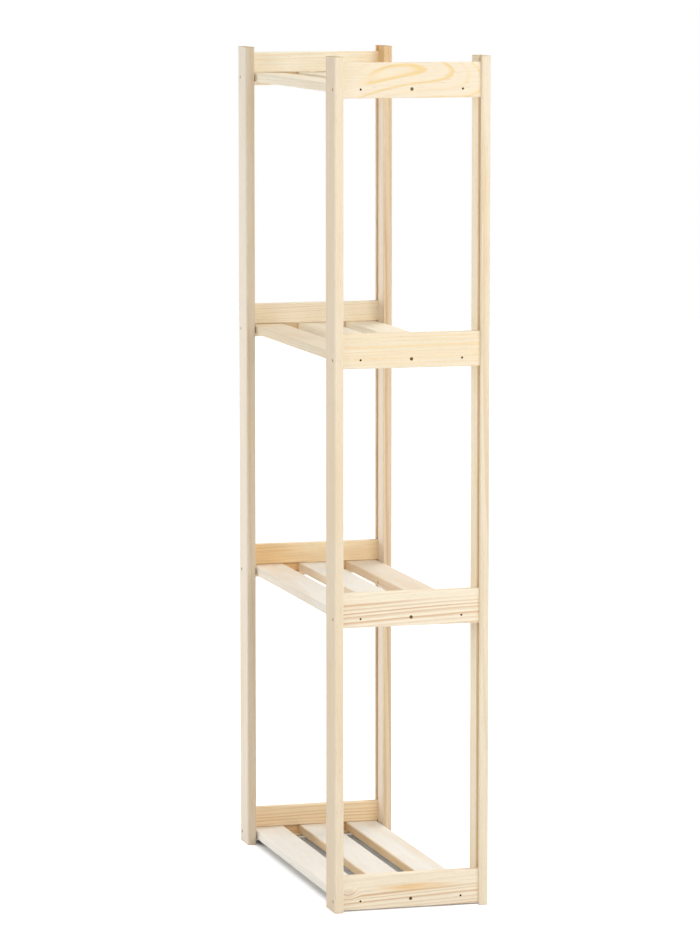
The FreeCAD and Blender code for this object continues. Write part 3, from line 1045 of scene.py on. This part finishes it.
bpy.ops.object.select_all(action="DESELECT")
bpy.ops.mesh.primitive_plane_add(size=FLOOR_SIZE, location=(0, 0, cad_low.z))
floor = bpy.context.object
floor.name = "studio_floor"
floor.data.materials.append(white_paper())
print("floor of", FLOOR_SIZE, "m")

# %% [markdown]
# The world.
# Behind the floor everything is white as well. As a light it is much weaker than it looks, because the
# soft boxes are to shape the boards and an even light from all sides would flatten them.

# %% World
SKY_SEEN, SKY_LIGHT = 1.0, 0.28

world = bpy.data.worlds.new("studio_world")
bpy.context.scene.world = world
world.use_nodes = True
sky = world.node_tree.nodes["Background"]
sky.inputs["Color"].default_value = PURE_WHITE
brightness = calc(
    world.node_tree, "MULTIPLY_ADD", seen_directly(world.node_tree), SKY_SEEN - SKY_LIGHT, SKY_LIGHT
)
world.node_tree.links.new(brightness, sky.inputs["Strength"])
print("world seen at", SKY_SEEN, "and lit at", SKY_LIGHT)

# %% [markdown]
# Soft boxes.
# Large lamps give soft edges to the shadows. One on the right of the camera lights the end frame that is
# nearer to it, and a weak low one fills the lower part of that frame. Two slightly cool ones stand before
# the unit's front, where the posts show their broad faces. One high behind the unit reaches the shelves
# and the far frame, and one overhead brightens the upper sides of the slats.

# %% Place the soft boxes
PLAIN, COOL = (1, 1, 1), (0.95, 0.975, 1)
SOFT_BOXES = {
    "front_box": {
        "place": (3.0, -0.3, 0.9), "aim": (0.3, 0, 0.6), "size": (1.4, 1.6), "watts": 10, "colour": PLAIN,
    },
    "right_box": {
        "place": (2.7, 1.0, 1.8), "aim": (0.2, 0, 0.7), "size": (1.6, 1.6), "watts": 30, "colour": PLAIN,
    },
    "back_box": {
        "place": (-1.6, 1.8, 2.4), "aim": (0, 0, 0.7), "size": (1.8, 1.8), "watts": 45, "colour": PLAIN,
    },
    "left_box": {
        "place": (-1.9, -2.2, 1.1), "aim": (-0.35, 0, 0.7), "size": (1.2, 1.3), "watts": 31, "colour": COOL,
    },
    "near_left_box": {
        "place": (1.6, -2.6, 1.9), "aim": (0, 0, 0.7), "size": (1.4, 1.8), "watts": 18, "colour": COOL,
    },
    "top_box": {
        "place": (0.8, 0.2, 3.6), "aim": (0, 0, 0.8), "size": (2.4, 2.4), "watts": 26, "colour": PLAIN,
    },
}


def aim(thing, target):
    """Turns a lamp or the camera to look at a point, upright."""
    thing.rotation_euler = (Vector(target) - thing.location).to_track_quat("-Z", "Y").to_euler()


for box_name, box in SOFT_BOXES.items():
    lamp = bpy.data.lights.new(box_name, "AREA")
    lamp.shape = "RECTANGLE"
    lamp.size, lamp.size_y = box["size"]
    lamp.energy = box["watts"]
    lamp.color = box["colour"]
    holder = bpy.data.objects.new(box_name, lamp)
    bpy.context.scene.collection.objects.link(holder)
    holder.location = box["place"]
    holder.visible_camera = False
    aim(holder, box["aim"])
print("soft boxes:", len(SOFT_BOXES))

# %% [markdown]
# The camera.
# The picture was taken with a long lens from well to the right and a little above, so the lines hardly
# converge. The lens follows from how large the unit stands in a picture 933 pixels high: Blender's sensor
# width is the long side.

# %% Camera
PICTURE_HEIGHT = 933
FOCAL_PIXELS = 4522
SENSOR = 36.0
CAMERA_PLACE = Vector((8.9454, -2.5258, 1.9837))
CAMERA_TURN = math.radians(74.36)
CAMERA_DIP = math.radians(6.94)

camera_data = bpy.data.cameras.new("camera")
camera_data.sensor_width = SENSOR
camera_data.lens = FOCAL_PIXELS * SENSOR / PICTURE_HEIGHT
camera = bpy.data.objects.new("camera", camera_data)
bpy.context.scene.collection.objects.link(camera)
camera.location = CAMERA_PLACE
level = math.cos(CAMERA_DIP)
look_along = Vector((-math.sin(CAMERA_TURN) * level, math.cos(CAMERA_TURN) * level, -math.sin(CAMERA_DIP)))
aim(camera, CAMERA_PLACE + look_along)
bpy.context.scene.camera = camera
bpy.context.scene.view_settings.view_transform = "Standard"
print("lens", round(camera_data.lens, 1), "mm")
